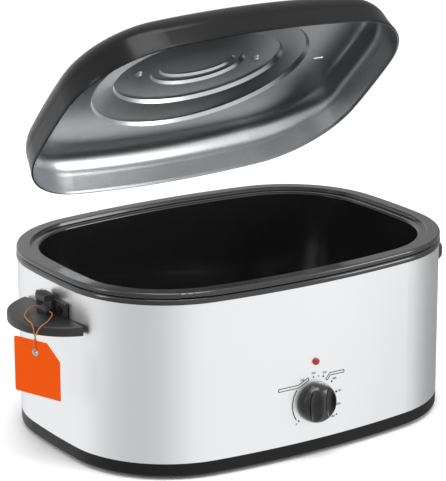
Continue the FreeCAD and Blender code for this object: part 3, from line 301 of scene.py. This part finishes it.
# Base tray: drawn steel under a baked satin black paint, which gives a broad soft shine with a
# faint orange peel of about 1 mm.
def peel_paint(name, colour, roughness, grain_size, depth, **sockets):
    """A paint or moulding whose skin has a fine even grain, sized in metres."""
    material, shader = new_material(name, Base_Color=hex_linear(colour), **sockets)
    where = add_node(material, "ShaderNodeTexCoord")
    skin = add_node(material, "ShaderNodeTexNoise",
                    inputs={"Scale": 1 / grain_size, "Detail": 3.0, "Roughness": 0.55},
                    links={"Vector": (where, "Object")})
    gloss = add_node(material, "ShaderNodeMapRange",
                     inputs={"To Min": roughness - 0.04, "To Max": roughness + 0.05},
                     links={"Value": (skin, "Fac")})
    join(material, gloss, "Result", shader, "Roughness")
    bump = add_node(material, "ShaderNodeBump", inputs={"Strength": 0.25, "Distance": depth},
                    links={"Height": (skin, "Fac")})
    join(material, bump, "Normal", shader, "Normal")
    return material


base_paint = peel_paint("baked satin black paint", "#0E0E0F", 0.4, 0.0012, 0.00004,
                        Specular_IOR_Level=0.2)
finish_node("base_tray", base_paint)
for end in ("left", "right"):
    finish_node("handle_screws_" + end, base_paint)


# Oven well and cooking pan: steel under fired porcelain enamel, black and glossy with a slight
# waviness, so edges catch a crisp white line. The pan's enamel carries fine grey specks.
enamel = peel_paint("fired black enamel", "#161617", 0.16, 0.006, 0.00006, Coat_Weight=0.5,
                    Coat_Roughness=0.06)
finish_node("oven_well", enamel)
speck_enamel, speck_shader = new_material("specked black enamel", Roughness=0.2, Coat_Weight=0.5,
                                          Coat_Roughness=0.08)
where = add_node(speck_enamel, "ShaderNodeTexCoord")
SPECK_PITCH = 0.004
SPECK_CORE = 0.06
SPECK_EDGE = 0.12
specks = add_node(speck_enamel, "ShaderNodeTexVoronoi", inputs={"Scale": 1 / SPECK_PITCH},
                  links={"Vector": (where, "Object")})
fleck = add_node(speck_enamel, "ShaderNodeMapRange",
                 inputs={"From Min": SPECK_CORE, "From Max": SPECK_EDGE, "To Min": 1.0, "To Max": 0.0},
                 links={"Value": (specks, "Distance")})
colour = add_node(speck_enamel, "ShaderNodeMix", data_type="RGBA",
                  links={"Factor": (fleck, "Result")})
colour.inputs["A"].default_value = hex_linear("#1A1A1B")
colour.inputs["B"].default_value = hex_linear("#4A4B4D")
join(speck_enamel, colour, "Result", speck_shader, "Base Color")
finish_node("cooking_pan", speck_enamel)


# Lid: one deep-drawn steel shell, enamelled glossy black outside and a satin steel grey inside. The
# finish changes at the hem, so the colour is chosen by which way the shell's skin faces.
LID_HINGE = Vector((0, 0.212, 0.284))
LID_OPEN = math.radians(44.7)
LID_HEM_HEIGHT = 0.2341
LID_BELLY_RISE = 0.012
LID_WAVE = 1 / 260
open_turn = (Matrix.Translation(LID_HINGE) @ Matrix.Rotation(-LID_OPEN, 4, "X")
             @ Matrix.Translation(-LID_HINGE))
LID_BELLY = open_turn @ Vector((0, 0, LID_HEM_HEIGHT + LID_BELLY_RISE))

lid_skin, lid_shader = new_material("lid enamel, black over grey", Specular_IOR_Level=0.2)
where = add_node(lid_skin, "ShaderNodeTexCoord")
from_belly = add_node(lid_skin, "ShaderNodeVectorMath", operation="SUBTRACT",
                      links={0: (where, "Object")})
from_belly.inputs[1].default_value = LID_BELLY
facing = add_node(lid_skin, "ShaderNodeVectorMath", operation="DOT_PRODUCT",
                  links={0: (from_belly, "Vector"), 1: (where, "Normal")})
outside = add_node(lid_skin, "ShaderNodeMath", operation="GREATER_THAN", inputs={1: 0.0},
                   links={0: (facing, "Value")})
wave = add_node(lid_skin, "ShaderNodeTexNoise", inputs={"Scale": 1 / LID_WAVE, "Detail": 3.0},
                links={"Vector": (where, "Object")})
grey = add_node(lid_skin, "ShaderNodeMix", data_type="RGBA", links={"Factor": (wave, "Fac")})
grey.inputs["A"].default_value = hex_linear("#BEC0C2")
grey.inputs["B"].default_value = hex_linear("#D0D2D4")
skin_colour = add_node(lid_skin, "ShaderNodeMix", data_type="RGBA",
                       links={"Factor": (outside, "Value")})
join(lid_skin, grey, "Result", skin_colour, "A")
skin_colour.inputs["B"].default_value = hex_linear("#0E0E0F")
join(lid_skin, skin_colour, "Result", lid_shader, "Base Color")
metal = add_node(lid_skin, "ShaderNodeMapRange", inputs={"To Min": 1.0, "To Max": 0.0},
                 links={"Value": (outside, "Value")})
join(lid_skin, metal, "Result", lid_shader, "Metallic")
gloss = add_node(lid_skin, "ShaderNodeMapRange", inputs={"To Min": 0.28, "To Max": 0.2},
                 links={"Value": (outside, "Value")})
join(lid_skin, gloss, "Result", lid_shader, "Roughness")
ripple = add_node(lid_skin, "ShaderNodeBump", inputs={"Strength": 0.2, "Distance": 0.00005},
                  links={"Height": (wave, "Fac")})
join(lid_skin, ripple, "Normal", lid_shader, "Normal")
finish_node("lid_shell", lid_skin)


# Handles: the lid's bridge and the side shelves with their notched posts are moulded phenolic, black
# with a fine matt grain that turns grey where it meets the light.
phenolic = peel_paint("moulded black phenolic", "#1D1D1E", 0.42, 0.0009, 0.00005)
for name in ("lid_handle", "side_handle_left", "side_handle_right", "lid_rest_left", "lid_rest_right"):
    finish_node(name, phenolic)


# Control knob: moulded black plastic with a satin shine. A low dome with a rounded side, cut by two
# scoops that leave a narrow ridge down the middle for the fingers; it stands for the CAD's knob, inside
# that knob's box.
KNOB_MIDDLE = Vector((-0.005, -0.1973, 0.0706))
KNOB_RADIUS = 0.0259
KNOB_RISE = 0.0199
RIDGE_HALF = 0.0022
SCOOP_MIDDLE = 0.0122
SCOOP_FLOOR = 0.0082
SCOOP_CLOSING = 0.0085
DOME_SQUARENESS = 5
DOME_SHOULDER = 0.42
DOME_FALL = 0.12
CREASE_BLEND = 0.0012
KNOB_RINGS = 64
KNOB_SPOKES = 216
KNOB_HUB = 0.02  # the small flat at the middle, counted in rings


def soft_min(a, b, blend):
    """The lower of two heights, with the crease between them rounded."""
    part = max(blend - abs(a - b), 0) / blend
    return min(a, b) - part * part * blend / 4


def knob_height(across, along):
    """How far the knob's skin stands off the wrap at a place on its face, in metres."""
    out = min(math.hypot(across, along) / KNOB_RADIUS, 1)
    dome = KNOB_RISE * (1 - out ** DOME_SQUARENESS) ** DOME_SHOULDER * (1 - DOME_FALL * out * out)
    reach = (abs(across) - SCOOP_MIDDLE) / (SCOOP_MIDDLE - RIDGE_HALF)
    scoop = SCOOP_FLOOR + (KNOB_RISE - SCOOP_FLOOR) * reach * reach
    scoop += SCOOP_CLOSING * (along / KNOB_RADIUS) ** 2
    if abs(across) < RIDGE_HALF:
        scoop = max(scoop, KNOB_RISE + CREASE_BLEND)
    return soft_min(dome, scoop, CREASE_BLEND)


def build_knob():
    """The knob's closed skin: rings of points on its face, drawn up to their height, and a flat back."""
    mesh = bpy.data.meshes.new("control_knob_skin")
    build = bmesh.new()
    rings = []
    for ring in range(KNOB_RINGS + 1):
        radius = KNOB_RADIUS * math.sin(math.pi / 2 * (ring + KNOB_HUB) / (KNOB_RINGS + KNOB_HUB))
        spots = []
        for spoke in range(KNOB_SPOKES):
            turn = 2 * math.pi * spoke / KNOB_SPOKES
            across, along = radius * math.sin(turn), radius * math.cos(turn)
            height = max(knob_height(across, along), 0)
            spots.append(build.verts.new(KNOB_MIDDLE + Vector((across, -height, along))))
        rings.append(spots)
    for inner, outer in zip(rings, rings[1:]):
        for spoke in range(KNOB_SPOKES):
            after = (spoke + 1) % KNOB_SPOKES
            build.faces.new((inner[spoke], inner[after], outer[after], outer[spoke]))
    build.faces.new(rings[0])
    build.faces.new(rings[-1])
    bmesh.ops.recalc_face_normals(build, faces=build.faces)
    for face in build.faces:
        face.smooth = len(face.verts) == 4
    build.to_mesh(mesh)
    build.free()
    piece = bpy.data.objects.new("control_knob_skin", mesh)
    scene.collection.objects.link(piece)
    return piece


knob_skin = peel_paint("satin black knob moulding", "#101011", 0.26, 0.002, 0.00003, Coat_Weight=0.3,
                       Coat_Roughness=0.12)
finish_node("control_knob", knob_skin)
knob_piece = build_knob()
knob_piece.data.materials.append(knob_skin)
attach(knob_piece, "knob")
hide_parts("control_knob")


# Lamp: a clear red dome moulded in one with its plug, lit faintly from behind by a neon lamp. Its
# holder and socket and the terminal block are cream nylon.
lamp_red, _ = new_material("red lamp moulding", Base_Color=hex_linear("#8C0A16"), Roughness=0.12,
                           Emission_Color=hex_linear("#C4121E"), Emission_Strength=0.05, Coat_Weight=0.2)
finish_node("lamp_lens", lamp_red)
nylon = peel_paint("cream moulded nylon", "#D8D4C4", 0.45, 0.0015, 0.00003)
for name in ("lamp_holder", "lamp_socket", "terminal_block"):
    finish_node(name, nylon)


# Rubber feet and the bush for the mains lead: moulded black rubber, dull, with a fine grain from the
# mould.
rubber = peel_paint("black moulded rubber", "#1C1C1C", 0.7, 0.0008, 0.00006)
for name in ("foot_front_left", "foot_front_right", "foot_rear_left", "foot_rear_right", "cord_gland"):
    finish_node(name, rubber)


# Zinc-plated small parts: screws, washers, bolts, the thermostat and its fittings. Bright zinc is a
# pale bluish metal with a soft shine.
zinc = peel_paint("bright zinc plating", "#C4C6C8", 0.3, 0.003, 0.00002, Metallic=1.0)
for name in ("foot_screws", "tie_bolts", "heater_terminals", "thermal_cutout", "thermostat_plate",
             "thermostat", "thermostat_nut", "thermostat_shaft", "lid_screw_left", "lid_screw_right",
             "lid_washer_left", "lid_washer_right"):
    finish_node(name, zinc)


# Roasting rack: steel wire under chromium, nearly a mirror, so its wires show as thin bright and dark
# lines in the black pan.
chromium = peel_paint("chromium plating", "#D8DADC", 0.1, 0.01, 0.00001, Metallic=1.0)
for name in ("rack_rail", "rack_wires", "rack_feet"):
    finish_node(name, chromium)


# Pieces between the well and the wrap: the heater's woven band, the glass-wool blanket and the dull
# aluminised shield.
WAVE_UNIT = 2 * math.pi / 20  # a Wave Texture of this scale repeats once a metre


def woven(name, colour, thread):
    """A plain weave of crossed threads, thread metres apart."""
    material, shader = new_material(name, Base_Color=hex_linear(colour), Roughness=0.9)
    where = add_node(material, "ShaderNodeTexCoord")
    heights = [add_node(material, "ShaderNodeTexWave", wave_type="BANDS", bands_direction=band,
                        inputs={"Scale": WAVE_UNIT / thread}, links={"Vector": (where, "Object")})
               for band in ("X", "Z")]
    both = add_node(material, "ShaderNodeMath", operation="MULTIPLY",
                    links={0: (heights[0], "Fac"), 1: (heights[1], "Fac")})
    bump = add_node(material, "ShaderNodeBump", inputs={"Strength": 0.6, "Distance": 0.0004},
                    links={"Height": (both, "Value")})
    join(material, bump, "Normal", shader, "Normal")
    return material


finish_node("heater_band", woven("woven glass band", "#B9AE93", 0.0016))
finish_node("insulation_blanket", woven("pale glass wool", "#E2D8A8", 0.004))
finish_node("heat_shield", peel_paint("dull aluminised sheet", "#B9BABB", 0.45, 0.02, 0.00002,
                                      Metallic=1.0))


# Hang tag: a laminated orange card with a zinc eyelet, on a thin twisted tan cord. The steel doesn't
# mirror the card.
card_skin = peel_paint("orange laminated card", "#CE4900", 0.5, 0.003, 0.00002, Specular_IOR_Level=0.05)
finish_node("tag_card", card_skin)
nodes["tag_card"].visible_glossy = False
cord_skin, cord_shader = new_material("twisted tan cord", Base_Color=hex_linear("#A8672C"), Roughness=0.8)
where = add_node(cord_skin, "ShaderNodeTexCoord")
STRAND = 0.0012
strands = add_node(cord_skin, "ShaderNodeTexWave", bands_direction="DIAGONAL",
                   inputs={"Scale": WAVE_UNIT / STRAND}, links={"Vector": (where, "Object")})
strand_bump = add_node(cord_skin, "ShaderNodeBump", inputs={"Strength": 0.5, "Distance": 0.0002},
                       links={"Height": (strands, "Fac")})
join(cord_skin, strand_bump, "Normal", cord_shader, "Normal")
finish_node("tag_string", cord_skin)
finish_node("tag_eyelet", zinc)


# Dial print: black ink screened on the wrap round the knob. Dots and numbers stand on circles about
# the knob's axis, a thin line runs down the left, and two outlined bars lean away at the top.
KNOB_AXIS = (-0.005, 0.071)
INK_LIFT = 0.00012
DOT_CIRCLE = 0.0326
NUMBER_CIRCLE = 0.0376
LINE_CIRCLE = 0.0342
NUMBER_HEIGHT = 0.0042
LINE_START = -54
LINE_SWEEP = -70
LINE_STEPS = 20
LINE_BREADTH = 0.0013
OUTER_DOT_CIRCLE = 0.041
OUTER_DOT_ANGLE = 126
OUTER_DOT_RADIUS = 0.0011
ink = peel_paint("screened black ink", "#161617", 0.5, 0.002, 0.00001, Specular_IOR_Level=0.2)


def wall_place(across, up, lift=INK_LIFT):
    """The point of the wrap's front at a width and height, just proud of the steel."""
    return Vector((across, -wall_depth(across) - lift, up))


def clock_place(radius, angle):
    """Width and height of a point of the dial, the angle clockwise from the top in degrees."""
    turn = math.radians(angle)
    return KNOB_AXIS[0] + radius * math.sin(turn), KNOB_AXIS[1] + radius * math.cos(turn)


def wrap_print(name, faces):
    """One ink piece from polygons given as (width, height) points."""
    mesh = bpy.data.meshes.new(name)
    build = bmesh.new()
    for polygon in faces:
        build.faces.new([build.verts.new(wall_place(*point)) for point in polygon])
    bmesh.ops.recalc_face_normals(build, faces=build.faces)
    for face in build.faces:
        if face.normal.y > 0:
            face.normal_flip()
    build.to_mesh(mesh)
    build.free()
    mesh.materials.append(ink)
    piece = bpy.data.objects.new(name, mesh)
    scene.collection.objects.link(piece)
    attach(piece, "oven")


def disc(across, up, radius, sides=16):
    """The corners of a dot."""
    step = 2 * math.pi / sides
    return [(across + radius * math.sin(i * step), up + radius * math.cos(i * step)) for i in range(sides)]


def stroke(start, stop, width):
    """A thin bar from one dial point to another."""
    way = Vector(stop) - Vector(start)
    side = Vector((-way.y, way.x)).normalized() * width / 2
    a, b = Vector(start), Vector(stop)
    return [tuple(a - side), tuple(b - side), tuple(b + side), tuple(a + side)]


# each dot's angle from the top, and its radius
DOTS = {-6: 0.0011, 8: 0.0009, 21: 0.0013, 49.5: 0.0013, 79: 0.0014, 104: 0.0009, 131: 0.0011,
        -130.5: 0.0012}
outer_dot = disc(*clock_place(OUTER_DOT_CIRCLE, OUTER_DOT_ANGLE), OUTER_DOT_RADIUS)
wrap_print("dial_dots", [outer_dot] + [disc(*clock_place(DOT_CIRCLE, angle), radius)
                                       for angle, radius in DOTS.items()])

angles = [LINE_START + LINE_SWEEP * index / LINE_STEPS for index in range(LINE_STEPS + 1)]
wrap_print("dial_line", [stroke(clock_place(LINE_CIRCLE, a), clock_place(LINE_CIRCLE, b), LINE_BREADTH)
                         for a, b in zip(angles, angles[1:])])

LEFT_BAR = ((-0.0595, 0.0949), (-0.0300, 0.0952), (-0.0157, 0.1025))
LEFT_BAR_BREADTH = 0.0036
RIGHT_BAR = ((0.0116, 0.0961), (0.0170, 0.1025), (0.0390, 0.1021))
RIGHT_BAR_BREADTH = 0.0032
BAR_LINE = 0.001


def outlined_bar(route, breadth, line):
    """A bent bar drawn as an outline, along a route of three points."""
    points = [Vector(point) for point in route]
    rails = {1: [], -1: []}
    for side in (1, -1):
        for index, point in enumerate(points):
            before = points[max(index - 1, 0)]
            after = points[min(index + 1, 2)]
            way = (after - before).normalized()
            rails[side].append(point + Vector((-way.y, way.x)) * side * breadth / 2)
    loop = rails[1] + rails[-1][::-1]
    return [stroke(a, b, line) for a, b in zip(loop, loop[1:] + loop[:1])]


wrap_print("dial_bars", outlined_bar(LEFT_BAR, LEFT_BAR_BREADTH, BAR_LINE)
           + outlined_bar(RIGHT_BAR, RIGHT_BAR_BREADTH, BAR_LINE))

NUMBERS = {"150": -33, "200": -5, "250": 21, "300": 50, "350": 80, "400": 107, "450": 133, "0": -131}
for text, angle in NUMBERS.items():
    curve = bpy.data.curves.new("dial_number_" + text, "FONT")
    curve.body = text
    curve.size = NUMBER_HEIGHT
    curve.align_x = "CENTER"
    curve.align_y = "CENTER"
    letters = bpy.data.objects.new("letters", curve)
    scene.collection.objects.link(letters)
    bpy.context.view_layer.update()
    mesh = bpy.data.meshes.new_from_object(letters.evaluated_get(bpy.context.evaluated_depsgraph_get()))
    bpy.data.objects.remove(letters)
    across, up = clock_place(NUMBER_CIRCLE, angle)
    for vertex in mesh.vertices:
        vertex.co = wall_place(across + vertex.co.x, up + vertex.co.y)
    mesh.materials.clear()
    mesh.materials.append(ink)
    number = bpy.data.objects.new("dial_number_" + text, mesh)
    scene.collection.objects.link(number)
    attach(number, "oven")
